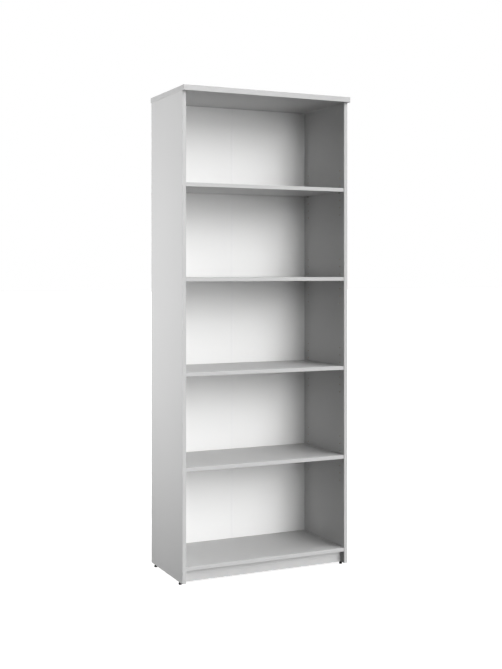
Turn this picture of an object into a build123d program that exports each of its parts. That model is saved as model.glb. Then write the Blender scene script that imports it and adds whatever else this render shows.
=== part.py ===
from build123d import *
import math
import os

os.makedirs("parts", exist_ok=True)

# Driving dimensions, in millimetres
body_width = 764.0  # over the outer faces of the two sides
side_depth = 365.0
side_height = 1986.0
board = 16.0  # sides, shelves, bottom and plinth
top_board = 22.0
top_front_overhang = 21.0
top_side_overhang = 2.0
rear_cover = 4.0  # how far the top reaches past the sides' rear edges, over the back
foot_stand = 13.0  # floor to the underside of the sides
edge_band = 1.0
hole_pitch = 32.0  # height between two pin holes
shelf_pitch = 12 * hole_pitch
shelf_count = 4
deck_height = 66.0  # underside of the sides to the top face of the bottom panel
front_setback = 2.0  # shelves and bottom panel behind the sides' front edges
plinth_setback = 30.0

# Back: two sheets of hardboard, joined by an H-shaped strip
back_sheet = 3.0
back_inset = 1.0  # from the outer faces of the sides
back_slack = 0.5  # below the top, and above the foot of the sides
strip_width = 11.0
strip_web = 1.2
strip_flange = 0.8
strip_play = 0.1

# Shelves and their pins
shelf_side_play = 1.0
shelf_rear_play = 2.5
pin_radius = 2.5
pin_hole_radius = 2.55
pin_hole_depth = 9.0
pin_in_wood = 8.0
pin_proud = 8.0
pin_collar_radius = 3.5
pin_collar = 0.8
pin_gap = 0.1  # under the shelf
pin_inset = 37.0  # from the front and rear edges of the sides
steps_each_way = 3

# Cam fittings and dowels
cam_radius = 7.5
cam_thickness = 12.0
cam_from_joint = 34.0
cam_inset = 60.0
dowel_radius = 4.0
dowel_short = 10.0  # in the face of a board
dowel_long = 20.0  # in the end of a board
dowel_inset = 92.0
bolt_thread = 11.0
bolt_shaft = 24.0
cap_radius = 8.5
cap_thickness = 1.0
fit = 0.03  # radial play of glued and pressed pieces

# Plinth fastenings
plinth_dowel_height = 53.0  # above the floor
corner_block = 16.0
corner_block_width = 30.0
corner_block_x = 200.0
screw_length = 28.0
screw_radius = 1.75
screw_head_radius = 3.5
screw_head = 2.2
screw_offset = 7.0

# Nails of the back
nail_length = 20.0
nail_radius = 0.8
nail_head_radius = 2.2
nail_head = 0.7
nails_per_side = 17
nails_per_bottom_half = 3
nail_end_margin = 40.0

# Levelling feet
foot_front_inset = 45.0
foot_rear_inset = 33.0
pad_radius = 7.0
pad_shoulder_radius = 6.0
pad_rim = 6.0
pad_height = 8.0
collar_height = 3.0
collar_across_flats = 10.0
stem_radius = 3.0
stem_in_insert = 25.0
journal_radius = 2.5
journal_depth = 3.0
insert_radius = 5.0
foot_hole_depth = 28.0
running_play = 0.05

# Places that follow from them; the origin is on the floor under the middle of the outer box
half_width = body_width / 2
inner = half_width - board
total_depth = top_front_overhang + side_depth + rear_cover
y_top_front = -total_depth / 2
y_front = y_top_front + top_front_overhang
y_rear = y_front + side_depth
y_deck_front = y_front + front_setback
y_plinth = y_front + plinth_setback
z_foot = foot_stand
z_top = foot_stand + side_height
z_deck = foot_stand + deck_height
fitting_rows = [y_front + cam_inset, y_rear - cam_inset]
dowel_rows = [y_front + dowel_inset, y_rear - dowel_inset]
foot_rows = {"front": y_front + foot_front_inset, "rear": y_rear - foot_rear_inset}
shelf_undersides = [z_deck + shelf_pitch * (shelf_count - i) for i in range(shelf_count)]

nodes = {}


def block(x0, x1, y0, y1, z0, z1):
    """A box between two opposite corners."""
    return Pos((x0 + x1) / 2, (y0 + y1) / 2, (z0 + z1) / 2) * Box(x1 - x0, y1 - y0, z1 - z0)


def rod(radius, low, high):
    """A cylinder on the local Z axis."""
    return Pos(0, 0, (low + high) / 2) * Cylinder(radius, high - low)


def frame_at(origin, z_dir, x_dir):
    return Plane(origin=origin, x_dir=x_dir, z_dir=z_dir)


def place(frames, shape):
    return [frame * shape for frame in frames]


def group(shapes):
    """Separate solids in one node."""
    return Compound([solid for shape in shapes for solid in shape.solids()])


def both_sides(shapes):
    return group(shapes + [mirror(shape, about=Plane.YZ) for shape in shapes])


def banded_edge(x0, x1, y, z0, z1):
    """A strip of edge band whose front face is at y, its long front edges rounded."""
    strip = block(x0, x1, y, y + edge_band, z0, z1)
    tall = z1 - z0 > x1 - x0
    along = Axis.Z if tall else Axis.X
    front = [e for e in strip.edges().filter_by(along) if abs(e.center().Y - y) < 0.01]
    return fillet(front, 0.8 * edge_band)


# Hardware in its own frame: Z runs along the bolt or dowel from the joint face into the
# board that holds the cam, and X points to the face where the cam's pocket opens.


def cam_bolt():
    head_bottom = cam_from_joint - 1.5
    bolt = rod(2.5, -bolt_thread, 0) + rod(3.5, 0, bolt_shaft)
    return bolt + rod(2.0, bolt_shaft, head_bottom) + rod(3.2, head_bottom, head_bottom + 3.0)


def cam_lock():
    disc = Pos(board / 2 - cam_thickness / 2, 0, cam_from_joint)
    disc = disc * Rot(0, 90, 0) * Cylinder(cam_radius, cam_thickness)
    slot = block(-cam_thickness, 3.6, -3.6, 3.6, cam_from_joint - 10.0, cam_from_joint + 4.0)
    cross = [
        block(board / 2 - 2.5, board / 2 + 1, -a, a, cam_from_joint - b, cam_from_joint + b)
        for a, b in ((3.5, 0.6), (0.6, 3.5))
    ]
    return disc - slot - cross


def cam_bores():
    """The holes in the board that holds the cam."""
    depth = cam_thickness + 0.5
    pocket = Pos(board / 2 - depth / 2, 0, cam_from_joint)
    pocket = pocket * Rot(0, 90, 0) * Cylinder(cam_radius + fit, depth)
    return [rod(4.0, 0, cam_from_joint), pocket]


def bolt_bore():
    return rod(2.5 + fit, -bolt_thread - 0.5, 0)


def dowel():
    return rod(dowel_radius, -dowel_short, dowel_long)


def dowel_bore():
    """Both holes of a dowel: it stands on the bottom of the short one."""
    return rod(dowel_radius + fit, -dowel_short, dowel_long + 1.0)


def screw(play=0.0):
    """A countersunk screw that enters along local Z, its head's face at 0."""
    head = Pos(0, 0, screw_head / 2)
    head = head * Cone(screw_head_radius + play, screw_radius + play, screw_head)
    return head + rod(screw_radius + play, screw_head, screw_length + 10 * play)


def nail(play=0.0):
    """A flat-headed nail that enters along local Z, its head's face at 0."""
    return rod(nail_head_radius + play, 0, nail_head) + rod(nail_radius + play, nail_head, nail_length)


def shelf_pin():
    """A pin along local Z, which points into the side; 0 is the side's inner face."""
    return rod(pin_radius, -pin_proud, pin_in_wood) + rod(pin_collar_radius, -pin_collar, 0)


# Frames of the fittings on the left; the right side is their mirror image
x_mid_side = -(inner + board / 2)
top_cams = [frame_at((x_mid_side, y, z_top), (0, 0, -1), (1, 0, 0)) for y in fitting_rows]
top_pegs = [frame_at((x_mid_side, y, z_top), (0, 0, -1), (1, 0, 0)) for y in dowel_rows]
z_mid_deck = z_deck - board / 2
deck_cams = [frame_at((-inner, y, z_mid_deck), (1, 0, 0), (0, 0, -1)) for y in fitting_rows]
deck_pegs = [frame_at((-inner, y, z_mid_deck), (1, 0, 0), (0, 0, -1)) for y in dowel_rows]
plinth_pegs = [
    frame_at((-inner, y_plinth + board / 2, plinth_dowel_height), (1, 0, 0), (0, 0, -1))
]
pin_rows = [y_front + pin_inset, y_rear - pin_inset]


def pin_frames(underside, step=0):
    z = underside - pin_gap - pin_radius + step * hole_pitch
    return [frame_at((-inner, y, z), (-1, 0, 0), (0, 0, 1)) for y in pin_rows]


# Nails: two rows into the sides, and one into the bottom panel
y_back = y_rear + back_sheet
nail_span = side_height - 2 * nail_end_margin
side_nails = [
    frame_at((x_mid_side, y_back, z_foot + nail_end_margin + nail_span * i / (nails_per_side - 1)),
             (0, -1, 0), (1, 0, 0))
    for i in range(nails_per_side)
]
deck_nails = [
    frame_at((-inner * (i + 0.5) / nails_per_bottom_half, y_back, z_mid_deck), (0, -1, 0), (1, 0, 0))
    for i in range(nails_per_bottom_half)
]

# Sides
pin_holes = [
    hole
    for underside in shelf_undersides
    for step in range(-steps_each_way, steps_each_way + 1)
    for hole in place(pin_frames(underside, step), rod(pin_hole_radius, 0, pin_hole_depth))
]
foot_axes = {row: Pos(x_mid_side, y, 0) for row, y in foot_rows.items()}
foot_holes = [
    axis * rod(insert_radius + fit, z_foot - 1, z_foot + foot_hole_depth) for axis in foot_axes.values()
]
left_side = block(-half_width, -inner, y_front + edge_band, y_rear, z_foot, z_top)
left_side -= pin_holes + foot_holes
left_side -= [f * bore for f in top_cams for bore in cam_bores()]
left_side -= place(deck_cams, bolt_bore())
left_side -= place(top_pegs + deck_pegs + plinth_pegs, dowel_bore())
left_side -= place(side_nails, nail(fit))
left_band = banded_edge(-half_width, -inner, y_front, z_foot, z_top)
nodes["left_side"] = left_side
nodes["right_side"] = mirror(left_side, about=Plane.YZ)
nodes["left_side_edge_band"] = left_band
nodes["right_side_edge_band"] = mirror(left_band, about=Plane.YZ)

# Top
half_top = half_width + top_side_overhang
y_top_rear = y_rear + rear_cover
top_panel = block(
    -half_top + edge_band, half_top - edge_band, y_top_front + edge_band, y_top_rear,
    z_top, z_top + top_board,
)
top_tools = place(top_cams, bolt_bore()) + place(top_pegs, dowel_bore())
top_panel -= top_tools + [mirror(tool, about=Plane.YZ) for tool in top_tools]
side_strip = block(
    -half_top, -half_top + edge_band, y_top_front + edge_band, y_top_rear, z_top, z_top + top_board
)
outer = [e for e in side_strip.edges().filter_by(Axis.Y) if e.center().X < -half_top + 0.01]
side_strip = fillet(outer, 0.8 * edge_band)
front_strip = banded_edge(-half_top, half_top, y_top_front, z_top, z_top + top_board)
nodes["top_panel"] = top_panel
nodes["top_edge_bands"] = group([front_strip, side_strip, mirror(side_strip, about=Plane.YZ)])

# Bottom panel and plinth
screw_frames = []
for x in (-corner_block_x, corner_block_x):
    y_behind = y_plinth + board + corner_block
    z_below = z_deck - board - corner_block
    middle = corner_block / 2
    screw_frames += [
        frame_at((x - screw_offset, y_behind, z_below + middle), (0, -1, 0), (1, 0, 0)),
        frame_at((x + screw_offset, y_behind - middle, z_below), (0, 0, 1), (1, 0, 0)),
    ]
screw_holes = place(screw_frames, screw(fit))


def through_both(tools):
    return tools + [mirror(tool, about=Plane.YZ) for tool in tools]


y_deck_rear = y_rear - strip_flange - 2 * strip_play
bottom_panel = block(-inner, inner, y_deck_front + edge_band, y_deck_rear, z_deck - board, z_deck)
bottom_panel -= through_both([f * bore for f in deck_cams for bore in cam_bores()])
bottom_panel -= through_both(place(deck_pegs, dowel_bore()) + place(deck_nails, nail(fit)))
bottom_panel -= screw_holes
nodes["bottom_panel"] = bottom_panel
nodes["bottom_panel_edge_band"] = banded_edge(-inner, inner, y_deck_front, z_deck - board, z_deck)
plinth = block(-inner, inner, y_plinth, y_plinth + board, z_foot, z_deck - board)
nodes["plinth"] = plinth - through_both(place(plinth_pegs, dowel_bore())) - screw_holes
corner_blocks = [
    block(x - corner_block_width / 2, x + corner_block_width / 2, y_plinth + board,
          y_plinth + board + corner_block, z_deck - board - corner_block, z_deck - board)
    for x in (-corner_block_x, corner_block_x)
]
nodes["plinth_corner_blocks"] = group([b - screw_holes for b in corner_blocks])
nodes["corner_block_screws"] = group(place(screw_frames, screw()))

# Shelves
shelf_half = inner - shelf_side_play
for i, underside in enumerate(shelf_undersides, start=1):
    nodes[f"shelf_{i}_board"] = block(
        -shelf_half, shelf_half, y_deck_front + edge_band, y_rear - shelf_rear_play,
        underside, underside + board,
    )
    nodes[f"shelf_{i}_edge_band"] = banded_edge(
        -shelf_half, shelf_half, y_deck_front, underside, underside + board
    )
    nodes[f"shelf_{i}_pins"] = both_sides(place(pin_frames(underside), shelf_pin()))

# Back
half_web = strip_web / 2
back_left = block(
    -half_width + back_inset, -half_web - strip_play, y_rear, y_back, z_foot + back_slack, z_top - back_slack
)
back_left -= place(side_nails + deck_nails, nail(fit))
nodes["back_sheet_left"] = back_left
nodes["back_sheet_right"] = mirror(back_left, about=Plane.YZ)
y_strip_front = y_rear - strip_play - strip_flange
y_strip_rear = y_back + strip_play + strip_flange
z_strip = (z_foot + back_slack, z_top - back_slack)
strip = block(-half_web, half_web, y_strip_front, y_strip_rear, *z_strip)
for y in (y_strip_front, y_strip_rear - strip_flange):
    strip += block(-strip_width / 2, strip_width / 2, y, y + strip_flange, *z_strip)
nodes["back_joint_strip"] = strip
nodes["back_nails"] = both_sides(place(side_nails + deck_nails, nail()))

# Cam fittings and dowels
cap = rod(cap_radius, 0, cap_thickness)
cap_frames = [
    frame_at((-inner, y, z_top - cam_from_joint), (1, 0, 0), (0, 0, 1)) for y in fitting_rows
]
nodes["top_cam_locks"] = both_sides(place(top_cams, cam_lock()))
nodes["top_cam_bolts"] = both_sides(place(top_cams, cam_bolt()))
nodes["top_cam_caps"] = both_sides(place(cap_frames, fillet(cap.edges().sort_by(Axis.Z)[-1], 0.6)))
nodes["top_dowels"] = both_sides(place(top_pegs, dowel()))
nodes["bottom_cam_locks"] = both_sides(place(deck_cams, cam_lock()))
nodes["bottom_cam_bolts"] = both_sides(place(deck_cams, cam_bolt()))
nodes["bottom_dowels"] = both_sides(place(deck_pegs, dowel()))
nodes["plinth_dowels"] = both_sides(place(plinth_pegs, dowel()))

# Levelling feet: a turning stem in a fixed sleeve, and a pad that does not turn
sleeve = rod(insert_radius, z_foot, z_foot + stem_in_insert)
sleeve -= rod(stem_radius + running_play, z_foot - 1, z_foot + stem_in_insert + 1)
nodes["foot_sleeves"] = both_sides([axis * sleeve for axis in foot_axes.values()])

shoulder = Pos(0, 0, (pad_rim + pad_height) / 2)
pad = rod(pad_radius, 0, pad_rim)
pad += shoulder * Cone(pad_radius, pad_shoulder_radius, pad_height - pad_rim)
pad -= rod(journal_radius + running_play, pad_height - journal_depth - 0.3, pad_height + 1)
collar_radius = collar_across_flats / 2 / math.cos(math.pi / 6)
collar = extrude(Pos(0, 0, pad_height) * RegularPolygon(collar_radius, 6), collar_height)
stem = collar + rod(stem_radius, pad_height + collar_height, z_foot + stem_in_insert)
stem += rod(journal_radius, pad_height - journal_depth, pad_height)
for row, axis in foot_axes.items():
    for side in ("left", "right"):
        turn = 1 if side == "left" else -1
        spot = Pos(turn * axis.position.X, axis.position.Y, 0)
        nodes[f"foot_{row}_{side}_pad"] = spot * pad
        nodes[f"foot_{row}_{side}_stem"] = spot * stem

for name, shape in nodes.items():
    export_step(shape, f"parts/{name}.step")
print(len(nodes), "sub-parts; outer box", Compound(list(nodes.values())).bounding_box().size)
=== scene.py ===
import math

import bpy
import numpy as np
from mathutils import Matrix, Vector


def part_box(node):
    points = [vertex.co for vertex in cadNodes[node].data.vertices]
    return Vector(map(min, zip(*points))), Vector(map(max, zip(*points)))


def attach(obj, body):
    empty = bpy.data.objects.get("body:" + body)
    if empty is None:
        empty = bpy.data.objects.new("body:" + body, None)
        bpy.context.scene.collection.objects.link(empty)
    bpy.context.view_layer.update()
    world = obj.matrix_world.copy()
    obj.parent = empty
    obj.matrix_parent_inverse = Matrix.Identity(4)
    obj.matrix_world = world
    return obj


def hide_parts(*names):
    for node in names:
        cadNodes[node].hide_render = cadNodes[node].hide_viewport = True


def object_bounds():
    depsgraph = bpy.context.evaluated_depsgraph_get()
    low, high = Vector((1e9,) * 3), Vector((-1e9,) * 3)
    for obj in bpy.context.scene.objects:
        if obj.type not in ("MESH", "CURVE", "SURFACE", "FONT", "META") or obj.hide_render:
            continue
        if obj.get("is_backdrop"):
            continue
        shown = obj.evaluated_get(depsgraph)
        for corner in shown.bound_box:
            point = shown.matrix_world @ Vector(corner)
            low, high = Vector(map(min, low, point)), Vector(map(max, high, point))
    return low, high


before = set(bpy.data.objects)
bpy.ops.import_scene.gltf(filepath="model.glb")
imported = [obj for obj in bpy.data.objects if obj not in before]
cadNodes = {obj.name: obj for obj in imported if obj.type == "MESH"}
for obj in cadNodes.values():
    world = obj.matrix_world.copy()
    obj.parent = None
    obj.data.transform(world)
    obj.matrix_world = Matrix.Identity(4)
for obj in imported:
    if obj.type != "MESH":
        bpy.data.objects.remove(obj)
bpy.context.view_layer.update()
mm = 0.001
print("frame loaded:", len(cadNodes), "CAD nodes")

cameraSettings = {
    "place": (-1.980, -4.2358, 1.2717),  # metres
    "turn": 25.097,  # degrees to the right of straight ahead
    "lens": 58.31,  # mm, on a 36 mm sensor
    "shiftUp": -0.0944,  # share of the long side
}


def makeCamera(settings):
    camera = bpy.data.objects.new("camera", bpy.data.cameras.new("camera"))
    bpy.context.scene.collection.objects.link(camera)
    camera.location = settings["place"]
    camera.rotation_euler = (math.pi / 2, 0, -math.radians(settings["turn"]))  # held level
    camera.data.lens = settings["lens"]
    camera.data.sensor_width = 36
    camera.data.shift_y = settings["shiftUp"]
    camera.data.clip_end = 200
    bpy.context.scene.camera = camera


makeCamera(cameraSettings)
print("camera placed")

# Distant lights: degrees right of the front, degrees up, width in degrees, strength.
# The front ones together act as one large soft window; the two from below are what a pale floor sends back.
distantLights = {
    "windowLow": (13, 3, 20, 0.18),
    "windowLowLeft": (0, 3, 20, 0.14),
    "windowMiddle": (13, 11, 20, 0.40),
    "windowMiddleLeft": (0, 11, 20, 0.14),
    "windowRight": (26, 19, 20, 0.46),
    "windowLeft": (0, 19, 20, 0.32),
    "windowHigh": (13, 28, 20, 0.33),
    "windowHighRight": (26, 28, 20, 0.22),
    "skylight": (25, 46, 36, 0.44),
    "skylightRight": (55, 42, 40, 1.25),
    "floorFront": (13, -8, 16, 0.21),
    "floorRight": (45, -20, 50, 0.50),
    "rearFill": (150, 25, 50, 1.1),
    "overhead": (0, 85, 20, 0.5),
}
# Panels that light the left side: place, point aimed at, watts
panelLights = {
    "sideLow": ((-1.75, 0.2, 0.8), (-0.38, 0.2, 0.8), 18),
    "sideHigh": ((-2.2, 0.2, 2.15), (-0.38, 0.2, 2.15), 17.5),
    "sideRear": ((-2.2, 1.2, 1.9), (-0.38, 0, 1.7), 20),
}
panelSize = 1.0
ambientStrength = 0.02
floorSettings = {"size": 60, "shade": 0.6, "glow": 0.9}


def makeDistantLight(name, right, up, width, strength):
    lamp = bpy.data.lights.new(name, "SUN")
    lamp.energy = strength
    lamp.angle = math.radians(width)
    sun = bpy.data.objects.new(name, lamp)
    bpy.context.scene.collection.objects.link(sun)
    right, up = math.radians(right), math.radians(up)
    towards = Vector((math.sin(right) * math.cos(up), -math.cos(right) * math.cos(up), math.sin(up)))
    sun.rotation_euler = towards.to_track_quat("Z", "Y").to_euler()


def makePanelLight(name, place, aim, watts):
    lamp = bpy.data.lights.new(name, "AREA")
    lamp.size = panelSize
    lamp.energy = watts
    panel = bpy.data.objects.new(name, lamp)
    bpy.context.scene.collection.objects.link(panel)
    panel.location = place
    panel.rotation_euler = (Vector(place) - Vector(aim)).to_track_quat("Z", "Y").to_euler()
    panel.visible_camera = False


def makeWorld(ambient):
    world = bpy.data.worlds.new("studio")
    bpy.context.scene.world = world
    world.use_nodes = True
    tree = world.node_tree
    tree.nodes.clear()
    soft = tree.nodes.new("ShaderNodeBackground")
    soft.inputs["Strength"].default_value = ambient
    white = tree.nodes.new("ShaderNodeBackground")
    for light in (soft, white):
        light.inputs["Color"].default_value = (1, 1, 1, 1)
    seen = tree.nodes.new("ShaderNodeLightPath")
    mix = tree.nodes.new("ShaderNodeMixShader")
    out = tree.nodes.new("ShaderNodeOutputWorld")
    tree.links.new(seen.outputs["Is Camera Ray"], mix.inputs["Fac"])
    tree.links.new(soft.outputs["Background"], mix.inputs[1])
    tree.links.new(white.outputs["Background"], mix.inputs[2])
    tree.links.new(mix.outputs["Shader"], out.inputs["Surface"])


def makeFloor(settings):
    size = settings["size"]
    corners = [(-size, -size, 0), (size, -size, 0), (size, size, 0), (-size, size, 0)]
    mesh = bpy.data.meshes.new("floor")
    mesh.from_pydata(corners, [], [(0, 1, 2, 3)])
    floor = bpy.data.objects.new("floor", mesh)
    bpy.context.scene.collection.objects.link(floor)
    material = bpy.data.materials.new("studioFloor")
    material.use_nodes = True
    shader = material.node_tree.nodes["Principled BSDF"]
    shader.inputs["Base Color"].default_value = (settings["shade"],) * 3 + (1,)
    shader.inputs["Roughness"].default_value = 0.9
    shader.inputs["Emission Color"].default_value = (1, 1, 1, 1)
    shader.inputs["Emission Strength"].default_value = settings["glow"]
    mesh.materials.append(material)
    floor.visible_diffuse = False
    floor.visible_glossy = False
    floor.visible_shadow = False  # the lights from below pass it
    floor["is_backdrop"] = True


for name, light in distantLights.items():
    makeDistantLight(name, *light)
for name, light in panelLights.items():
    makePanelLight(name, *light)
makeWorld(ambientStrength)
makeFloor(floorSettings)
bpy.context.scene.view_settings.view_transform = "Standard"
print("studio lit")


def addNode(tree, kind, values=None, **settings):
    node = tree.nodes.new("ShaderNode" + kind)
    for key, value in settings.items():
        setattr(node, key, value)
    for socket, value in (values or {}).items():
        node.inputs[socket].default_value = value
    return node


def newGroup(name, inputs, outputs):
    tree = bpy.data.node_groups.new(name, "ShaderNodeTree")
    for socketName, kind, value in inputs:
        tree.interface.new_socket(name=socketName, in_out="INPUT", socket_type="NodeSocket" + kind)
        tree.interface.items_tree[socketName].default_value = value
    for socketName, kind in outputs:
        tree.interface.new_socket(name=socketName, in_out="OUTPUT", socket_type="NodeSocket" + kind)
    return tree, tree.nodes.new("NodeGroupInput").outputs, tree.nodes.new("NodeGroupOutput").inputs


def scaledPlace(tree, scale, stretch=(1, 1, 1)):
    # object coordinates in metres, times a scale from a socket and a fixed stretch
    place = addNode(tree, "TexCoord")
    stretched = addNode(tree, "VectorMath", {1: stretch}, operation="MULTIPLY")
    scaled = addNode(tree, "VectorMath", operation="SCALE")
    tree.links.new(place.outputs["Object"], stretched.inputs[0])
    tree.links.new(stretched.outputs["Vector"], scaled.inputs[0])
    tree.links.new(scale, scaled.inputs["Scale"])
    return scaled.outputs["Vector"]


def maths(tree, operation, first, second):
    node = addNode(tree, "Math", operation=operation)
    for socket, value in zip(node.inputs, (first, second)):
        if isinstance(value, (int, float)):
            socket.default_value = value
        else:
            tree.links.new(value, socket)
    return node.outputs["Value"]


def mixColours(tree, share, first, second):
    node = addNode(tree, "Mix", data_type="RGBA")
    for socket, value in zip((node.inputs[0], node.inputs[6], node.inputs[7]), (share, first, second)):
        if isinstance(value, (int, float)):
            socket.default_value = value
        elif isinstance(value, tuple):
            socket.default_value = (*value, 1)
        else:
            tree.links.new(value, socket)
    return node.outputs[2]


def mixValues(tree, share, first, second):
    # first + share * (second - first)
    return maths(tree, "ADD", first, maths(tree, "MULTIPLY", share, maths(tree, "SUBTRACT", second, first)))


def makePearlGrain():
    # the fine pearled texture of melamine and of moulded plastic: small rounded cells over finer noise
    tree, given, out = newGroup("pearlGrain", [("Scale", "Float", 900.0)], [("Height", "Float")])
    place = scaledPlace(tree, given["Scale"])
    cells = addNode(tree, "TexVoronoi", {"Scale": 1.0, "Smoothness": 0.6}, feature="SMOOTH_F1")
    noise = addNode(tree, "TexNoise", {"Scale": 2.3, "Detail": 2.0})
    tree.links.new(place, cells.inputs["Vector"])
    tree.links.new(place, noise.inputs["Vector"])
    tree.links.new(mixValues(tree, 0.4, cells.outputs["Distance"], noise.outputs["Fac"]), out["Height"])
    return tree


def makeSlowShade():
    # a slow change of shade over a board, with a faint finer mottle
    inputs = [("Color", "Color", (0.6, 0.6, 0.6, 1)), ("Amount", "Float", 0.03), ("Scale", "Float", 3.0)]
    tree, given, out = newGroup("slowShade", inputs, [("Color", "Color"), ("Cloud", "Float")])
    place = scaledPlace(tree, given["Scale"])
    broad = addNode(tree, "TexNoise", {"Scale": 1.0, "Detail": 3.0})
    fine = addNode(tree, "TexNoise", {"Scale": 60.0, "Detail": 2.0})
    for noise in (broad, fine):
        tree.links.new(place, noise.inputs["Vector"])
    cloud = mixValues(tree, 0.35, broad.outputs["Fac"], fine.outputs["Fac"])
    change = maths(tree, "MULTIPLY", given["Amount"], maths(tree, "SUBTRACT", cloud, 0.5))
    factor = maths(tree, "ADD", 1.0, change)
    scaled = addNode(tree, "VectorMath", operation="SCALE")
    tree.links.new(given["Color"], scaled.inputs[0])
    tree.links.new(factor, scaled.inputs["Scale"])
    tree.links.new(scaled.outputs["Vector"], out["Color"])
    tree.links.new(cloud, out["Cloud"])
    return tree


def makeChipboard():
    # pressed flakes: two sizes of stretched cells, each with its own tone, and dark gaps between them
    outputs = [("Color", "Color"), ("Height", "Float")]
    tree, given, out = newGroup("chipboard", [("Scale", "Float", 320.0)], outputs)
    place = scaledPlace(tree, given["Scale"], (0.45, 0.8, 1.0))
    flakes = addNode(tree, "TexVoronoi", {"Scale": 1.0, "Randomness": 1.0})
    crumbs = addNode(tree, "TexVoronoi", {"Scale": 2.7, "Randomness": 1.0})
    tones = addNode(tree, "ValToRGB")
    tones.color_ramp.elements[0].color = (0.16, 0.09, 0.045, 1)
    tones.color_ramp.elements[1].color = (0.56, 0.40, 0.24, 1)
    middle = tones.color_ramp.elements.new(0.45)
    middle.color = (0.38, 0.25, 0.14, 1)
    for cells in (flakes, crumbs):
        tree.links.new(place, cells.inputs["Vector"])
    tone = mixColours(tree, 0.45, flakes.outputs["Color"], crumbs.outputs["Color"])
    grey = addNode(tree, "RGBToBW")
    tree.links.new(tone, grey.inputs["Color"])
    tree.links.new(grey.outputs["Val"], tones.inputs["Fac"])
    tree.links.new(tones.outputs["Color"], out["Color"])
    tree.links.new(mixValues(tree, 0.5, grey.outputs["Val"], crumbs.outputs["Distance"]), out["Height"])
    return tree


def makeFacing():
    # 1 on the faces that look along the axis, either way, and 0 on the others
    inputs = [("Axis", "Vector", (0, 0, 1)), ("Reach", "Float", 0.3)]
    tree, given, out = newGroup("facing", inputs, [("Mask", "Float")])
    place = addNode(tree, "TexCoord")
    along = addNode(tree, "VectorMath", operation="DOT_PRODUCT")
    tree.links.new(place.outputs["Normal"], along.inputs[0])
    tree.links.new(given["Axis"], along.inputs[1])
    steep = maths(tree, "ABSOLUTE", along.outputs["Value"], 0.0)
    tree.links.new(maths(tree, "GREATER_THAN", steep, given["Reach"]), out["Mask"])
    return tree


def makeEdgeWear():
    # rubbed corners: the piece's own edge mask, broken up by noise
    inputs = [("Color", "Color", (0.6, 0.6, 0.6, 1)), ("Worn", "Color", (0.8, 0.8, 0.8, 1))]
    inputs += [("Amount", "Float", 0.3)]
    tree, given, out = newGroup("edgeWear", inputs, [("Color", "Color"), ("Mask", "Float")])
    edge = addNode(tree, "Attribute", attribute_name="edge")
    place = addNode(tree, "TexCoord")
    noise = addNode(tree, "TexNoise", {"Scale": 45.0, "Detail": 4.0})
    tree.links.new(place.outputs["Object"], noise.inputs["Vector"])
    patches = maths(tree, "MULTIPLY", edge.outputs["Fac"], noise.outputs["Fac"])
    mask = maths(tree, "MULTIPLY", patches, given["Amount"])
    tree.links.new(mixColours(tree, mask, given["Color"], given["Worn"]), out["Color"])
    tree.links.new(mask, out["Mask"])
    return tree


def makeDust():
    # a thin veil of dust on the faces that look up
    inputs = [("Color", "Color", (0.6, 0.6, 0.6, 1)), ("Amount", "Float", 0.05)]
    tree, given, out = newGroup("dust", inputs, [("Color", "Color"), ("Mask", "Float")])
    place = addNode(tree, "TexCoord")
    split = addNode(tree, "SeparateXYZ")
    noise = addNode(tree, "TexNoise", {"Scale": 14.0, "Detail": 5.0})
    tree.links.new(place.outputs["Normal"], split.inputs["Vector"])
    tree.links.new(place.outputs["Object"], noise.inputs["Vector"])
    upward = maths(tree, "MAXIMUM", split.outputs["Z"], 0.0)
    mask = maths(tree, "MULTIPLY", maths(tree, "MULTIPLY", upward, noise.outputs["Fac"]), given["Amount"])
    tree.links.new(mixColours(tree, mask, given["Color"], (0.7, 0.69, 0.67)), out["Color"])
    tree.links.new(mask, out["Mask"])
    return tree


def makeScratches():
    # fine lines along Z: noise stretched out a hundred times, and a broader smear
    outputs = [("Height", "Float"), ("Smear", "Float")]
    tree, given, out = newGroup("scratches", [("Scale", "Float", 60.0)], outputs)
    lines = addNode(tree, "TexNoise", {"Scale": 20.0, "Detail": 3.0})
    smear = addNode(tree, "TexNoise", {"Scale": 2.0, "Detail": 2.0})
    tree.links.new(scaledPlace(tree, given["Scale"], (1.0, 1.0, 0.01)), lines.inputs["Vector"])
    tree.links.new(scaledPlace(tree, given["Scale"]), smear.inputs["Vector"])
    tree.links.new(lines.outputs["Fac"], out["Height"])
    tree.links.new(smear.outputs["Fac"], out["Smear"])
    return tree


def makeFibres():
    # the rough side of hardboard: matted fibres under the print of the press's wire screen
    inputs = [("Scale", "Float", 500.0)]
    tree, given, out = newGroup("fibres", inputs, [("Color", "Color"), ("Height", "Float")])
    place = scaledPlace(tree, given["Scale"])
    matted = addNode(tree, "TexNoise", {"Scale": 1.6, "Detail": 6.0, "Distortion": 1.5})
    tree.links.new(place, matted.inputs["Vector"])
    wires = []
    for direction in ("X", "Z"):
        wave = addNode(tree, "TexWave", {"Scale": 0.5, "Distortion": 0.6}, bands_direction=direction)
        tree.links.new(place, wave.inputs["Vector"])
        wires.append(wave.outputs["Fac"])
    screen = maths(tree, "MULTIPLY", *wires)
    tones = addNode(tree, "ValToRGB")
    tones.color_ramp.elements[0].color = (0.10, 0.055, 0.028, 1)
    tones.color_ramp.elements[1].color = (0.30, 0.19, 0.11, 1)
    tone = mixValues(tree, 0.3, matted.outputs["Fac"], screen)
    tree.links.new(tone, tones.inputs["Fac"])
    tree.links.new(tones.outputs["Color"], out["Color"])
    tree.links.new(tone, out["Height"])
    return tree


effects = {
    "pearlGrain": makePearlGrain(),
    "slowShade": makeSlowShade(),
    "chipboard": makeChipboard(),
    "facing": makeFacing(),
    "edgeWear": makeEdgeWear(),
    "dust": makeDust(),
    "scratches": makeScratches(),
    "fibres": makeFibres(),
}
print("shared effects made:", len(effects))


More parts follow.
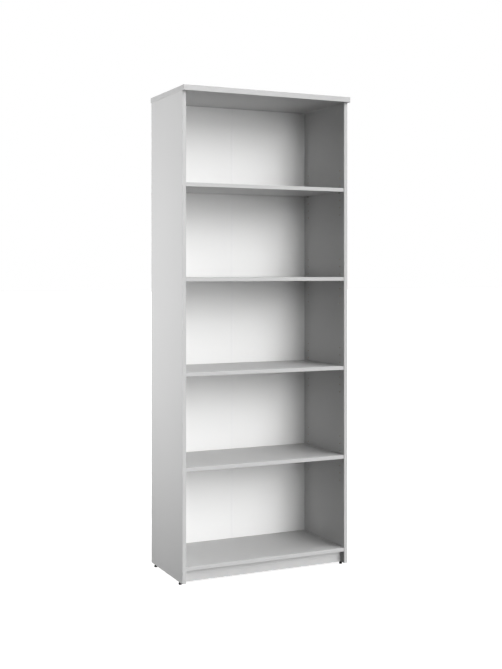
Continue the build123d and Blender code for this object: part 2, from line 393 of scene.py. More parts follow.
def newMaterial(name, settings):
    material = bpy.data.materials.new(name)
    material.use_nodes = True
    shader = material.node_tree.nodes["Principled BSDF"]
    shader.inputs["Metallic"].default_value = settings.get("metallic", 0.0)
    shader.inputs["Roughness"].default_value = settings["roughness"]
    return material, material.node_tree, shader


def useEffect(tree, name, values):
    # values are numbers, colours, or the outputs of other nodes
    node = addNode(tree, "Group", node_tree=effects[name])
    for socket, value in values.items():
        if isinstance(value, bpy.types.NodeSocket):
            tree.links.new(value, node.inputs[socket])
        else:
            node.inputs[socket].default_value = value
    return node.outputs


def addBump(tree, shader, height, depth):
    bump = addNode(tree, "Bump", {"Strength": 1.0, "Distance": depth})
    tree.links.new(height, bump.inputs["Height"])
    tree.links.new(bump.outputs["Normal"], shader.inputs["Normal"])


def grey(shade):
    return (shade, shade, shade, 1)


boardLook = {
    "shade": 0.53,
    "roughness": 0.45,
    "rawRoughness": 0.9,
    "mottle": 0.03,
    "wear": 0.35,
    "dust": 0.06,
    "pearl": 700.0,  # cells to the metre
    "pearlDepth": 0.00002,
    "chips": 320.0,
    "chipDepth": 0.0003,
}


def makeBoardMaterial(name, axis, look):
    # melamine on the two large faces, which look along the axis, and raw chipboard everywhere else
    material, tree, shader = newMaterial(name, look)
    shaded = useEffect(tree, "slowShade", {"Color": grey(look["shade"]), "Amount": look["mottle"]})
    worn = useEffect(tree, "edgeWear", {"Color": shaded["Color"], "Worn": grey(0.75), "Amount": look["wear"]})
    dusty = useEffect(tree, "dust", {"Color": worn["Color"], "Amount": look["dust"]})
    chips = useEffect(tree, "chipboard", {"Scale": look["chips"]})
    faced = useEffect(tree, "facing", {"Axis": axis})["Mask"]
    tree.links.new(mixColours(tree, faced, chips["Color"], dusty["Color"]), shader.inputs["Base Color"])
    pearl = useEffect(tree, "pearlGrain", {"Scale": look["pearl"]})["Height"]
    smooth = maths(tree, "ADD", look["roughness"] - 0.03, maths(tree, "MULTIPLY", shaded["Cloud"], 0.06))
    smooth = maths(tree, "ADD", smooth, maths(tree, "MULTIPLY", dusty["Mask"], 2.0))
    tree.links.new(mixValues(tree, faced, look["rawRoughness"], smooth), shader.inputs["Roughness"])
    rough = maths(tree, "MULTIPLY", chips["Height"], look["chipDepth"] / look["pearlDepth"])
    addBump(tree, shader, mixValues(tree, faced, rough, pearl), look["pearlDepth"])
    return material


# the plinth is the same melamine as the other boards, painted lighter (shade 0.57 for 0.53): painted light
# that stands in for the brighter light on the plinth
plinthPaintedLightLook = {**boardLook, "shade": 0.57}
bandLook = {"shade": 0.5, "roughness": 0.38, "mottle": 0.02, "wear": 0.25, "grainDepth": 0.00002}


def makeBandMaterial(look):
    # plastic edging: slightly glossier than the board, with the faint lines that scraping leaves
    material, tree, shader = newMaterial("edgeBandPlastic", look)
    tint = {"Color": grey(look["shade"]), "Amount": look["mottle"], "Scale": 9.0}
    shaded = useEffect(tree, "slowShade", tint)
    worn = useEffect(tree, "edgeWear", {"Color": shaded["Color"], "Worn": grey(0.8), "Amount": look["wear"]})
    tree.links.new(worn["Color"], shader.inputs["Base Color"])
    lines = useEffect(tree, "scratches", {"Scale": 40.0})
    smooth = maths(tree, "ADD", look["roughness"] - 0.04, maths(tree, "MULTIPLY", lines["Smear"], 0.08))
    tree.links.new(smooth, shader.inputs["Roughness"])
    pearl = useEffect(tree, "pearlGrain", {"Scale": 900.0})["Height"]
    addBump(tree, shader, mixValues(tree, 0.5, pearl, lines["Height"]), look["grainDepth"])
    return material


backLook = {"shade": 0.88, "roughness": 0.6, "rawRoughness": 0.92, "mottle": 0.02, "lacquerDepth": 0.00003}


def makeHardboardMaterial(look):
    # white lacquer on the face that looks forward, raw brown fibre on the back and the cut edges
    material, tree, shader = newMaterial("lacqueredHardboard", look)
    white = (look["shade"], look["shade"], look["shade"] * 0.995, 1)
    shaded = useEffect(tree, "slowShade", {"Color": white, "Amount": look["mottle"], "Scale": 2.0})
    fibres = useEffect(tree, "fibres", {})
    place = addNode(tree, "TexCoord")
    split = addNode(tree, "SeparateXYZ")
    tree.links.new(place.outputs["Normal"], split.inputs["Vector"])
    lacquered = maths(tree, "LESS_THAN", split.outputs["Y"], -0.5)
    tree.links.new(mixColours(tree, lacquered, fibres["Color"], shaded["Color"]), shader.inputs["Base Color"])
    smooth = maths(tree, "ADD", look["roughness"] - 0.04, maths(tree, "MULTIPLY", shaded["Cloud"], 0.08))
    tree.links.new(mixValues(tree, lacquered, look["rawRoughness"], smooth), shader.inputs["Roughness"])
    pearl = useEffect(tree, "pearlGrain", {"Scale": 350.0})["Height"]
    rough = maths(tree, "MULTIPLY", fibres["Height"], 5.0)
    addBump(tree, shader, mixValues(tree, lacquered, rough, pearl), look["lacquerDepth"])
    return material


# moulded plastics: grain is in cells to the metre, depth in metres
plasticLooks = {
    "whiteStrip": {
        "colour": (0.87, 0.87, 0.87), "roughness": 0.42,
        "grain": 800.0, "depth": 0.00002, "wear": 0.1,
    },
    "whiteBlock": {
        "colour": (0.76, 0.76, 0.74), "roughness": 0.48,
        "grain": 1100.0, "depth": 0.00004, "wear": 0.1,
    },
    "greyCap": {
        "colour": (0.55, 0.55, 0.55), "roughness": 0.45,
        "grain": 1400.0, "depth": 0.00003, "wear": 0.2,
    },
    "blackFoot": {
        "colour": (0.018, 0.018, 0.019), "roughness": 0.5,
        "grain": 1000.0, "depth": 0.00006, "wear": 0.3,
    },
}


def makePlasticMaterial(name, look):
    material, tree, shader = newMaterial(name, look)
    shaded = useEffect(tree, "slowShade", {"Color": (*look["colour"], 1), "Amount": 0.06, "Scale": 30.0})
    scuffed = tuple(0.7 * channel + 0.2 for channel in look["colour"])
    rubbed = {"Color": shaded["Color"], "Worn": (*scuffed, 1), "Amount": look["wear"]}
    worn = useEffect(tree, "edgeWear", rubbed)
    dusty = useEffect(tree, "dust", {"Color": worn["Color"], "Amount": 0.05})
    tree.links.new(dusty["Color"], shader.inputs["Base Color"])
    smooth = maths(tree, "ADD", look["roughness"] - 0.05, maths(tree, "MULTIPLY", shaded["Cloud"], 0.1))
    tree.links.new(smooth, shader.inputs["Roughness"])
    addBump(tree, shader, useEffect(tree, "pearlGrain", {"Scale": look["grain"]})["Height"], look["depth"])
    return material


metalLooks = {
    "zincPlatedSteel": {"colour": (0.60, 0.61, 0.63), "roughness": 0.34, "lines": 160.0, "depth": 0.00001},
    "nickelPin": {"colour": (0.66, 0.64, 0.61), "roughness": 0.24, "lines": 220.0, "depth": 0.000006},
    "castZinc": {"colour": (0.42, 0.42, 0.43), "roughness": 0.48, "lines": 90.0, "depth": 0.00004},
    "stemSteel": {"colour": (0.07, 0.07, 0.075), "roughness": 0.42, "lines": 180.0, "depth": 0.00001},
}


def makeMetalMaterial(name, look):
    material, tree, shader = newMaterial(name, {**look, "metallic": 1.0})
    shaded = useEffect(tree, "slowShade", {"Color": (*look["colour"], 1), "Amount": 0.16, "Scale": 60.0})
    worn = useEffect(tree, "edgeWear", {"Color": shaded["Color"], "Worn": grey(0.8), "Amount": 0.4})
    tree.links.new(worn["Color"], shader.inputs["Base Color"])
    marks = useEffect(tree, "scratches", {"Scale": look["lines"]})
    smooth = maths(tree, "ADD", look["roughness"] - 0.08, maths(tree, "MULTIPLY", marks["Smear"], 0.16))
    tree.links.new(smooth, shader.inputs["Roughness"])
    addBump(tree, shader, marks["Height"], look["depth"])
    return material


beechLook = {"light": (0.60, 0.41, 0.24), "dark": (0.42, 0.26, 0.14), "roughness": 0.62}


def makeBeechMaterial(name, stretch, look):
    # straight grain: noise drawn out along the dowel, so small along that axis and fine across it
    material, tree, shader = newMaterial(name, look)
    place = addNode(tree, "TexCoord")
    drawn = addNode(tree, "VectorMath", {1: stretch}, operation="MULTIPLY")
    rings = addNode(tree, "TexNoise", {"Scale": 1.0, "Detail": 5.0})
    tree.links.new(place.outputs["Object"], drawn.inputs[0])
    tree.links.new(drawn.outputs["Vector"], rings.inputs["Vector"])
    grain = mixColours(tree, rings.outputs["Fac"], look["dark"], look["light"])
    tree.links.new(grain, shader.inputs["Base Color"])
    smooth = maths(tree, "ADD", look["roughness"] - 0.05, maths(tree, "MULTIPLY", rings.outputs["Fac"], 0.1))
    tree.links.new(smooth, shader.inputs["Roughness"])
    addBump(tree, shader, rings.outputs["Fac"], 0.00008)
    return material


materials = {
    "uprightBoard": makeBoardMaterial("melamineUpright", (1, 0, 0), boardLook),
    "flatBoard": makeBoardMaterial("melamineFlat", (0, 0, 1), boardLook),
    # the plinth's copy of the board melamine carries painted light in its lighter shade
    "plinthPaintedLightBoard": makeBoardMaterial("melaminePlinthPaintedLight", (0, 1, 0), plinthPaintedLightLook),
    "edgeBand": makeBandMaterial(bandLook),
    "hardboard": makeHardboardMaterial(backLook),
    "beechUpright": makeBeechMaterial("beechUpright", (900, 900, 25), beechLook),
    "beechLevel": makeBeechMaterial("beechLevel", (25, 900, 900), beechLook),
}
for name, look in plasticLooks.items():
    materials[name] = makePlasticMaterial(name, look)
for name, look in metalLooks.items():
    materials[name] = makeMetalMaterial(name, look)
print("materials made:", len(materials))


def gridQuads(rows, columns, closeColumns=True):
    # the four corners of each cell in a grid of points; closed columns join the last line to the first
    r, c = np.meshgrid(np.arange(rows - 1), np.arange(columns - (not closeColumns)), indexing="ij")
    r, c = r.ravel() * columns, c.ravel()
    across = (c + 1) % columns
    return np.stack([r + c, r + across, r + columns + across, r + columns + c], 1)


def welded(points, quads):
    # points at one place become one; a quad that loses a corner stays as a triangle
    places, where = np.unique(np.round(points, 8), axis=0, return_inverse=True)
    quads = where.reshape(-1)[quads]
    same = quads == np.roll(quads, -1, axis=1)
    pinched = same.sum(1) == 1
    threes = quads[pinched][~same[pinched]].reshape(-1, 3)
    return places, quads[~same.any(1)].tolist() + threes.tolist()


def turned(radii, heights, foot, axis, sides=32):
    # A turned piece: row i is a ring of points at heights[i] along the axis, radii[i] from it.
    # Both may change round the ring, and then they are grids of rows by sides.
    radii, heights = [np.asarray(a, float) for a in (radii, heights)]
    radii, heights = [a if a.ndim == 2 else np.repeat(a[:, None], sides, 1) for a in (radii, heights)]
    angle = np.arange(sides) * 2 * math.pi / sides
    up = Vector(axis).normalized()
    side = up.orthogonal().normalized()
    other = up.cross(side)
    points = np.array(foot) + heights[..., None] * np.array(up)
    points = points + (radii * np.cos(angle))[..., None] * np.array(side)
    points = points + (radii * np.sin(angle))[..., None] * np.array(other)
    return welded(points.reshape(-1, 3), gridQuads(len(radii), sides))


def roundedBoard(low, high, radius, steps=3, cells=(1, 1, 1)):
    # A board with rounded edges: each point of the outer box goes to its nearest point on the core box,
    # which is smaller by the radius all round, plus the radius in the direction between them. Near an edge
    # the grid lines lie radius times tan(angle) beyond the core, so the rounding is cut into even steps.
    low, high = np.array(low, float), np.array(high, float)
    fan = radius * np.tan(np.linspace(0, math.pi / 4, steps + 1))[1:]
    lines = []
    for start, end, count in zip(low + radius, high - radius, cells):
        lines.append(np.concatenate([start - fan[::-1], np.linspace(start, end, count + 1), end + fan]))
    points, quads = np.empty((0, 3)), np.empty((0, 4), int)
    for i in range(3):
        j, k = (i + 1) % 3, (i + 2) % 3
        for limit, order in ((low[i], 1), (high[i], -1)):
            face = np.empty((len(lines[j]), len(lines[k]), 3))
            face[..., j], face[..., k] = np.meshgrid(lines[j], lines[k], indexing="ij")
            face[..., i] = limit
            cellQuads = gridQuads(len(lines[j]), len(lines[k]), closeColumns=False)
            quads = np.concatenate([quads, cellQuads[:, ::order] + len(points)])
            points = np.concatenate([points, face.reshape(-1, 3)])
    core = np.clip(points, low + radius, high - radius)
    away = points - core
    return welded(core + radius * away / np.linalg.norm(away, axis=1, keepdims=True), quads)


def extruded(outline, start, across, out, length):
    # a strip: a flat outline, anticlockwise in the plane of across and out, carried along their cross product
    across, out = np.array(across, float), np.array(out, float)
    ring = np.array(start) + outline[:, :1] * across + outline[:, 1:] * out
    points = np.concatenate([ring, ring + length * np.cross(across, out)])
    count = len(outline)
    i = np.arange(count)
    sides = np.stack([i, (i + 1) % count, (i + 1) % count + count, i + count], 1)
    return points, sides.tolist() + [i[::-1].tolist(), (i + count).tolist()]


def bandOutline(width, thick, radius, steps=5):
    # an edge band seen end on: square against the board, a quarter circle at each outer corner
    turn = np.linspace(0, math.pi / 2, steps + 1)
    cos, sin = radius * np.cos(turn), radius * np.sin(turn)
    right = np.stack([width - radius + cos, thick - radius + sin], 1)
    left = np.stack([radius - sin, thick - radius + cos], 1)
    return np.concatenate([[(0, 0), (width, 0)], right, left])


def joinStripOutline(width, depth, flange, web):
    # an H seen end on: half-round tips joined by the corners beside the web, and the same half turned round
    turn = np.linspace(-math.pi / 2, math.pi / 2, 7)
    tip = flange / 2 * np.stack([np.cos(turn), np.sin(turn)], 1)
    reach = width / 2 - flange / 2
    inside = [(web / 2, flange), (web / 2, depth - flange)]
    half = np.concatenate([tip + (reach, flange / 2), inside, tip + (reach, depth - flange / 2)])
    return np.concatenate([half, (0, depth) - half])


def threadGroove(heights, sides, pitch, low, high):
    # 0 on the crest and 1 in the groove: a triangle wave of height / pitch less the share of a turn,
    # faded out at the ends
    phase = (heights[:, None] / pitch - np.arange(sides) / sides) % 1
    fade = np.clip(np.minimum(heights - low, high - heights) / pitch, 0, 1)
    return (1 - np.abs(2 * phase - 1)) * fade[:, None]


def threadedRod(rows, pitch, depth, low, high, sides):
    # rows of (radius, height), with a thread cut into the stretch from low to high, eight rows to each turn
    below = [row for row in rows if row[1] <= low]
    above = [row for row in rows if row[1] >= high]
    core = below[-1][0]
    heights = np.linspace(low, high, max(4, round((high - low) / pitch * 8)))
    cut = core - depth * threadGroove(heights, sides, pitch, low, high)
    ends = [np.repeat(np.array([r for r, h in part])[:, None], sides, 1) for part in (below, above)]
    radii = np.concatenate([ends[0], cut, ends[1]])
    return radii, np.concatenate([[h for r, h in below], heights, [h for r, h in above]])


def solidBoxes(node):
    # The box of each separate solid in a CAD node: places joined by a triangle come to share the lowest
    # number.
    mesh = cadNodes[node].data
    points = np.empty(len(mesh.vertices) * 3, np.float32)
    mesh.vertices.foreach_get("co", points)
    corners = np.empty(len(mesh.loops), np.int32)
    mesh.loops.foreach_get("vertex_index", corners)
    places, where = np.unique(np.round(points.reshape(-1, 3), 6), axis=0, return_inverse=True)
    triangles = where.reshape(-1)[corners].reshape(-1, 3)
    label, before = np.arange(len(places)), None
    while before is None or (label != before).any():
        before = label.copy()
        np.minimum.at(label, triangles.ravel(), np.repeat(label[triangles].min(1), 3))
        label = label[label]
    boxes = [places[label == one].astype(float) for one in np.unique(label)]
    return [(box.min(0), box.max(0)) for box in boxes]


def makePiece(name, solids, material, body, nodes, edgeOf=None):
    # one object from closed solids, each with its points and faces
    points = np.concatenate([solid[0] for solid in solids])
    starts = np.cumsum([0] + [len(solid[0]) for solid in solids])
    faces = [[corner + start for corner in face] for solid, start in zip(solids, starts) for face in solid[1]]
    mesh = bpy.data.meshes.new(name)
    mesh.from_pydata(points, [], faces)
    mesh.polygons.foreach_set("use_smooth", np.ones(len(mesh.polygons), bool))
    mesh.set_sharp_from_angle(angle=math.radians(38))
    mesh.materials.append(material)
    if edgeOf:  # points where the surface turns away from both neighbours' faces
        low, high, radius = edgeOf
        away = np.abs(points - np.clip(points, np.array(low) + radius, np.array(high) - radius))
        edge = ((away > 0.02 * radius).sum(1) > 1).astype(np.float32)
        mesh.attributes.new("edge", "FLOAT", "POINT").data.foreach_set("value", edge)
    piece = bpy.data.objects.new(name, mesh)
    bpy.context.scene.collection.objects.link(piece)
    even = piece.modifiers.new("evenShading", "WEIGHTED_NORMAL")
    even.keep_sharp = True
    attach(piece, body)
    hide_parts(*nodes)
    return piece


def coatNode(node, material):
    # a CAD node that stays as it is, with its own holes
    cadNodes[node].data.materials.clear()
    cadNodes[node].data.materials.append(material)


def nodeBox(node):
    low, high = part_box(node)
    return np.array(low, float), np.array(high, float)


boardSettings = {"round": 0.3 * mm, "steps": 3}


def makeBoard(name, node, material, body):
    low, high = nodeBox(node)
    radius = boardSettings["round"]
    solid = roundedBoard(low, high, radius, boardSettings["steps"], cells=(6, 3, 1))
    makePiece(name, [solid], material, body, [node], (low, high, radius))


shelfNumbers = range(1, 5)
for number in shelfNumbers:
    makeBoard(f"shelf_{number}_panel", f"shelf_{number}_board", materials["flatBoard"], f"shelf_{number}")
makeBoard("top_panel_board", "top_panel", materials["flatBoard"], "carcass")
# the plinth board gets the lighter melamine copy, with painted light in its colour
makeBoard("plinth_board", "plinth", materials["plinthPaintedLightBoard"], "carcass")
drilledBoards = {"left_side": "uprightBoard", "right_side": "uprightBoard", "bottom_panel": "flatBoard"}
for node, look in drilledBoards.items():
    coatNode(node, materials[look])
print("boards done")

bandSettings = {"round": 0.75 * mm, "steps": 5}


def frontBand(low, high):
    # a band along X on a board's front edge
    outline = bandOutline(high[2] - low[2], high[1] - low[1], bandSettings["round"], bandSettings["steps"])
    return extruded(outline, (low[0], high[1], low[2]), (0, 0, 1), (0, -1, 0), high[0] - low[0])


def makeBand(name, solids, body, nodes):
    makePiece(name, solids, materials["edgeBand"], body, nodes)


for number in shelfNumbers:
    node = f"shelf_{number}_edge_band"
    makeBand(f"shelf_{number}_front_band", [frontBand(*nodeBox(node))], f"shelf_{number}", [node])
node = "bottom_panel_edge_band"
makeBand("bottom_front_band", [frontBand(*nodeBox(node))], "carcass", [node])
for side in ("left", "right"):
    node = f"{side}_side_edge_band"
    low, high = nodeBox(node)
    outline = bandOutline(high[0] - low[0], high[1] - low[1], bandSettings["round"], bandSettings["steps"])
    band = extruded(outline, (high[0], high[1], low[2]), (-1, 0, 0), (0, -1, 0), high[2] - low[2])
    makeBand(f"{side}_front_band", [band], "carcass", [node])


def makeTopBands():
    low, high = nodeBox("top_edge_bands")
    boardLow, boardHigh = nodeBox("top_panel")
    thick = boardLow[1] - low[1]
    outline = bandOutline(high[2] - low[2], thick, bandSettings["round"], bandSettings["steps"])
    length = boardHigh[1] - boardLow[1]
    front = frontBand(low, np.array([high[0], boardLow[1], high[2]]))
    left = extruded(outline, (boardLow[0], boardHigh[1], low[2]), (0, 0, 1), (-1, 0, 0), length)
    right = extruded(outline, (boardHigh[0], boardLow[1], low[2]), (0, 0, 1), (1, 0, 0), length)
    makeBand("top_bands", [front, left, right], "carcass", ["top_edge_bands"])


makeTopBands()
print("edge bands done")

backSettings = {"round": 0.25 * mm, "bow": 0.25 * mm, "cells": (24, 1, 96)}


def makeBackSheet(name, node):
    # Hardboard between its nails is never quite flat: both faces move by the bow times sin squared across
    # the sheet and two slow waves up it, so the edges stay where they are.
    low, high = nodeBox(node)
    points, faces = roundedBoard(low, high, backSettings["round"], 2, backSettings["cells"])
    u, _, v = ((points - low) / (high - low)).T
    wave = 0.6 * np.sin(6 * math.pi * v) + 0.4 * np.sin(14 * math.pi * v + 9 * low[0])
    points[:, 1] += backSettings["bow"] * np.sin(math.pi * u) ** 2 * np.sin(math.pi * v) * wave
    makePiece(name, [(points, faces)], materials["hardboard"], "carcass", [node])


stripSettings = {"flange": 0.8 * mm, "web": 1.2 * mm}


def makeJoinStrip():
    low, high = nodeBox("back_joint_strip")
    width, depth, tall = high - low
    outline = joinStripOutline(width, depth, stripSettings["flange"], stripSettings["web"])
    strip = extruded(outline, (0, low[1], low[2]), (1, 0, 0), (0, 1, 0), tall)
    nodes = ["back_joint_strip"]
    makePiece("back_join_strip", [strip], materials["whiteStrip"], "carcass", nodes)


makeBackSheet("back_panel_left", "back_sheet_left")
makeBackSheet("back_panel_right", "back_sheet_right")
makeJoinStrip()
print("back done")


def makeFasteners(name, solids, node):
    makePiece(name, solids, materials["zincPlatedSteel"], "carcass", [node])


nailSettings = {"head": 2.2 * mm, "shank": 0.8 * mm, "headHeight": 0.7 * mm, "point": 2.5 * mm}


def makeNails():
    # head, a domed disc; shank, a rod; point, a cone
    s = nailSettings
    solids = []
    for low, high in solidBoxes("back_nails"):
        length = high[1] - low[1]
        rows = [(0, 0), (0.7 * s["head"], 0.02 * mm), (0.92 * s["head"], 0.08 * mm), (s["head"], 0.25 * mm)]
        rows += [(s["head"], 0.6 * s["headHeight"]), (1.1 * s["shank"], s["headHeight"])]
        rows += [(s["shank"], 1.2 * s["headHeight"]), (s["shank"], length - s["point"])]
        rows += [(0.4 * s["shank"], length - 0.3 * s["point"]), (0, length)]
        radii, heights = zip(*rows)
        foot = ((low[0] + high[0]) / 2, high[1], (low[2] + high[2]) / 2)
        solids.append(turned(radii, heights, foot, (0, -1, 0), sides=16))
    makeFasteners("back_nail_set", solids, "back_nails")


pinSettings = {
    "radius": 2.5 * mm, "collar": 3.5 * mm, "collarThick": 0.8 * mm, "bevel": 0.5 * mm,
    "play": 0.03 * mm,
}


def makeShelfPins(number):
    # a rod with a rounded nose in the compartment, a collar against the side and a bevelled end in the wood
    s = pinSettings
    face = nodeBox("right_side")[0][0]
    curve = np.linspace(0, math.pi / 2, 6)
    solids = []
    for low, high in solidBoxes(f"shelf_{number}_pins"):
        outer = 1 if low[0] > 0 else -1  # the side that holds it
        nose, end = (face - low[0], high[0] - face) if outer > 0 else (high[0] + face, -face - low[0])
        rows = [(0, -nose)]
        rows += [
            (s["radius"] - s["bevel"] * (1 - math.sin(a)), -nose + s["bevel"] * (1 - math.cos(a)))
            for a in curve
        ]
        rows += [(s["radius"], -s["collarThick"]), (0.95 * s["collar"], -s["collarThick"])]
        rows += [(s["collar"], -0.7 * s["collarThick"]), (s["collar"], -s["play"]), (s["radius"], -s["play"])]
        rows += [(s["radius"], end - s["bevel"]), (s["radius"] - s["bevel"], end), (0, end)]
        radii, heights = zip(*rows)
        foot = (outer * face, (low[1] + high[1]) / 2, (low[2] + high[2]) / 2)
        solids.append(turned(radii, heights, foot, (outer, 0, 0), sides=40))
    name, body, nodes = f"shelf_{number}_pin_set", f"shelf_{number}_supports", [f"shelf_{number}_pins"]
    makePiece(name, solids, materials["nickelPin"], body, nodes)


makeNails()
for number in shelfNumbers:
    makeShelfPins(number)
print("nails and shelf pins done")

boltSettings = {
    "thread": 2.5 * mm, "threadLength": 11 * mm, "pitch": 2.2 * mm, "groove": 0.6 * mm,
    "shaft": 3.5 * mm, "shaftLength": 24 * mm, "neck": 2.0 * mm, "neckEnd": 32.5 * mm, "head": 3.2 * mm,
}


def camBolt(joint, axis):
    # wood thread, shaft, thin neck and round head, from the thread's tip at minus its length
    s = boltSettings
    sides = 28
    rows = [(0, -s["threadLength"]), (0.5 * s["thread"], -s["threadLength"] + 0.3 * mm)]
    rows += [(s["thread"], -s["threadLength"] + 1.5 * mm), (s["thread"], 0), (s["shaft"], 0)]
    rows += [(s["shaft"], s["shaftLength"] - 0.6 * mm), (s["shaft"] - 0.6 * mm, s["shaftLength"])]
    rows += [(s["neck"], s["shaftLength"]), (s["neck"], s["neckEnd"]), (s["head"] - 0.5 * mm, s["neckEnd"])]
    rows += [(s["head"], s["neckEnd"] + 0.5 * mm), (s["head"], s["neckEnd"] + 2.3 * mm)]
    rows += [(s["head"] - 0.8 * mm, s["neckEnd"] + 3 * mm), (0, s["neckEnd"] + 3 * mm)]
    low, high = -s["threadLength"] + 1.5 * mm, 0
    radii, heights = threadedRod(rows, s["pitch"], s["groove"], low, high, sides)
    return turned(radii, heights, joint, axis, sides)


def makeCamBolts():
    topJoint = nodeBox("left_side")[1][2]
    sideFace = nodeBox("right_side")[0][0]
    solids = []
    for low, high in solidBoxes("top_cam_bolts"):
        solids.append(camBolt(((low[0] + high[0]) / 2, (low[1] + high[1]) / 2, topJoint), (0, 0, -1)))
    makeFasteners("top_bolt_set", solids, "top_cam_bolts")
    solids = []
    for low, high in solidBoxes("bottom_cam_bolts"):
        outer = 1 if low[0] > 0 else -1
        joint = (outer * sideFace, (low[1] + high[1]) / 2, (low[2] + high[2]) / 2)
        solids.append(camBolt(joint, (-outer, 0, 0)))
    makeFasteners("bottom_bolt_set", solids, "bottom_cam_bolts")


dowelSettings = {"flutes": 16, "fluteDepth": 0.25 * mm, "bevel": 1.0 * mm}


def makeDowels(name, node, material):
    # a fluted peg: the radius less half the flute's depth times 1 + cos(flutes * angle), with bevelled ends
    s = dowelSettings
    sides = s["flutes"] * 6
    flute = s["fluteDepth"] / 2 * (1 + np.cos(np.arange(sides) * 2 * math.pi * s["flutes"] / sides))
    solids = []
    for low, high in solidBoxes(node):
        size = high - low
        long = int(size.argmax())
        radius, length = np.delete(size, long).min() / 2, size[long]
        foot = (low + high) / 2
        foot[long] = low[long]
        heights = np.array([0, 0, s["bevel"], length - s["bevel"], length, length])
        shrink = np.array([radius, s["bevel"], 0, 0, s["bevel"], radius])[:, None]
        radii = np.maximum(radius - shrink - flute * (shrink < radius), 0)
        solids.append(turned(radii, heights, foot, np.eye(3)[long], sides))
    makePiece(name, solids, materials[material], "carcass", [node])


capSettings = {"bevel": 0.5 * mm, "dome": 0.1 * mm}


def makeCaps():
    # a thin disc with a rounded rim, slightly lower at the rim than in the middle
    s = capSettings
    solids = []
    for low, high in solidBoxes("top_cam_caps"):
        inward = -1 if low[0] > 0 else 1
        face = high[0] if inward < 0 else low[0]
        radius, thick = (high[2] - low[2]) / 2, high[0] - low[0]
        curve = np.linspace(0, math.pi / 2, 6)
        rows = [(0, 0), (radius, 0), (radius, thick - s["bevel"] - s["dome"])]
        rows += [
            (radius - s["bevel"] * (1 - math.cos(a)), thick - s["dome"] - s["bevel"] * (1 - math.sin(a)))
            for a in curve[1:]
        ]
        rows += [(0.6 * radius, thick - 0.4 * s["dome"]), (0.3 * radius, thick - 0.1 * s["dome"]), (0, thick)]
        radii, heights = zip(*rows)
        foot = (face, (low[1] + high[1]) / 2, (low[2] + high[2]) / 2)
        solids.append(turned(radii, heights, foot, (inward, 0, 0), sides=48))
    makePiece("cam_cap_set", solids, materials["greyCap"], "carcass", ["top_cam_caps"])


screwSettings = {
    "head": 3.5 * mm, "headHeight": 2.2 * mm, "thread": 1.75 * mm, "pitch": 1.6 * mm, "groove": 0.5 * mm,
    "recess": 1.4 * mm, "recessReach": 2.3 * mm, "tip": 3 * mm,
}


def blockScrew(foot, axis, length):
    # A countersunk head with a cross recess. The recess is deepest in the middle and rises to the head's
    # face at a reach that is longer along its four arms: depth * (1 - distance / reach), where reach
    # follows |cos(2 angle)|.
    s = screwSettings
    sides = 48
    angle = np.arange(sides) * 2 * math.pi / sides
    reach = s["recessReach"] * (0.3 + 0.7 * np.abs(np.cos(2 * angle)) ** 5)
    faceRadii = np.linspace(0, 0.94, 9)[:, None] * np.full(sides, s["head"])
    faceHeights = s["recess"] * np.clip(1 - faceRadii / reach, 0, 1)
    rows = [(s["head"], 0.15 * mm), (s["head"], 0.35 * mm), (s["thread"], s["headHeight"])]
    rows += [(s["thread"], length - s["tip"]), (0.5 * s["thread"], length - 0.3 * s["tip"]), (0, length)]
    low, high = s["headHeight"], length - s["tip"]
    radii, heights = threadedRod(rows, s["pitch"], s["groove"], low, high, sides)
    heights = np.repeat(heights[:, None], sides, 1)
    radii, heights = np.concatenate([faceRadii, radii]), np.concatenate([faceHeights, heights])
    return turned(radii, heights, foot, axis, sides)


def makeBlockScrews():
    solids = []
    for low, high in solidBoxes("corner_block_screws"):
        middle = (low + high) / 2
        level = high[1] - low[1] > high[2] - low[2]  # forward into the plinth, or else up into the bottom
        foot = (middle[0], high[1], middle[2]) if level else (middle[0], middle[1], low[2])
        length = high[1] - low[1] if level else high[2] - low[2]
        solids.append(blockScrew(foot, (0, -1, 0) if level else (0, 0, 1), length))
    makeFasteners("block_screw_set", solids, "corner_block_screws")


makeCamBolts()
makeDowels("top_dowel_set", "top_dowels", "beechUpright")
makeDowels("bottom_dowel_set", "bottom_dowels", "beechLevel")
makeDowels("plinth_dowel_set", "plinth_dowels", "beechLevel")
makeCaps()
makeBlockScrews()
for node in ("top_cam_locks", "bottom_cam_locks"):
    coatNode(node, materials["castZinc"])
coatNode("plinth_corner_blocks", materials["whiteBlock"])
print("joint fittings done")

footSettings = {
    "bore": 2.6 * mm, "boreFloor": 4.7 * mm, "rim": 6.0 * mm, "shoulder": 6.0 * mm,
    "ribs": 24, "ribDepth": 0.3 * mm, "stem": 3.0 * mm, "journal": 2.45 * mm, "flats": 10 * mm,
    "collarTop": 11 * mm, "pitch": 1.0 * mm, "groove": 0.35 * mm, "play": 0.03 * mm,
}


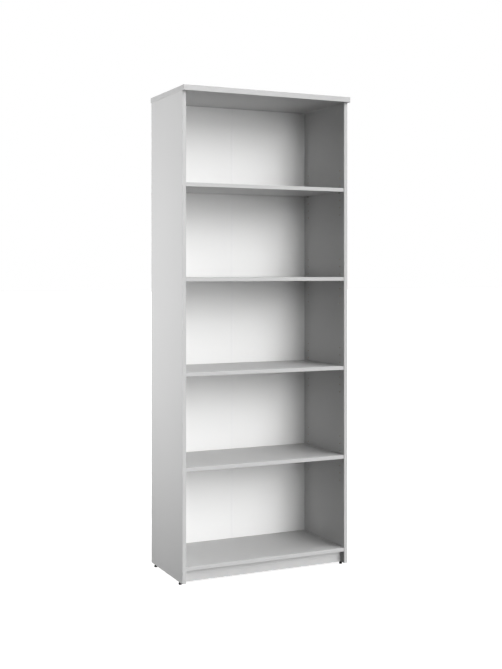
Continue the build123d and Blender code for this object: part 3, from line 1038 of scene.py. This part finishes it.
def makeFootPad(name, node, body):
    # a ribbed disc that narrows to a shoulder, with a bore for the stem; the ribs fade out above the rim
    s = footSettings
    low, high = nodeBox(node)
    radius, tall = (high[0] - low[0]) / 2, high[2] - low[2]
    sides = s["ribs"] * 4
    rib = s["ribDepth"] / 2 * (1 + np.cos(np.arange(sides) * 2 * math.pi * s["ribs"] / sides))
    rows = [(0, 0, 0), (radius - 0.8 * mm, 0, 0), (radius - 0.3 * mm, 0.15 * mm, 0.5), (radius, 0.6 * mm, 1)]
    rows += [(radius, s["rim"] - 0.3 * mm, 1), (radius - 0.4 * mm, s["rim"], 0.5)]
    rows += [(s["shoulder"] + 0.5 * mm, tall - 0.25 * mm, 0)]
    rows += [(s["shoulder"], tall, 0), (s["bore"] + 0.2 * mm, tall, 0), (s["bore"], tall - 0.2 * mm, 0)]
    rows += [(s["bore"], s["boreFloor"], 0), (0, s["boreFloor"], 0)]
    radii, heights, ribbed = np.array(rows).T
    radii = radii[:, None] - ribbed[:, None] * rib
    foot = ((low[0] + high[0]) / 2, (low[1] + high[1]) / 2, low[2])
    pad = turned(radii, heights, foot, (0, 0, 1), sides)
    makePiece(name, [pad], materials["blackFoot"], body, [node])


def makeFootStem(name, node, body):
    # Journal, six-sided collar and thread. The collar's radius is half its flats over cos of the angle from
    # a flat.
    s = footSettings
    low, high = nodeBox(node)
    sides = 48
    angle = np.arange(sides) * 2 * math.pi / sides
    hexagon = s["flats"] / 2 / np.cos((angle + math.pi / 6) % (math.pi / 3) - math.pi / 6)
    chamfered = np.minimum(hexagon, s["flats"] / 2 + 0.35 * mm)
    collarLow = nodeBox(node.replace("stem", "pad"))[1][2] + s["play"]
    collarHigh = s["collarTop"] - s["play"]
    rows = [(s["stem"], collarHigh), (s["stem"], high[2] - 1 * mm)]
    rows += [(s["stem"] - 0.7 * mm, high[2]), (0, high[2])]
    radii, heights = threadedRod(rows, s["pitch"], s["groove"], collarHigh, high[2] - 1 * mm, sides)
    first = [(0, low[2]), (s["journal"] - 0.3 * mm, low[2])]
    first += [(s["journal"], low[2] + 0.3 * mm), (s["journal"], collarLow)]
    start = np.repeat(np.array([r for r, h in first])[:, None], sides, 1)
    collar = np.array([chamfered, hexagon, hexagon, chamfered])
    collarHeights = [collarLow, collarLow + 0.3 * mm, collarHigh - 0.3 * mm, collarHigh]
    radii = np.concatenate([start, collar, radii])
    heights = np.concatenate([[h for r, h in first], collarHeights, heights])
    foot = ((low[0] + high[0]) / 2, (low[1] + high[1]) / 2, 0)
    stem = turned(radii, heights, foot, (0, 0, 1), sides)
    makePiece(name, [stem], materials["stemSteel"], body, [node])


for row in ("front", "rear"):
    for side in ("left", "right"):
        body = f"foot_{row}_{side}"
        makeFootPad(f"{body}_disc", f"{body}_pad", f"{body}_pad")
        makeFootStem(f"{body}_screw", f"{body}_stem", f"{body}_stem")
coatNode("foot_sleeves", materials["blackFoot"])
print("feet done")

low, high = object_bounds()
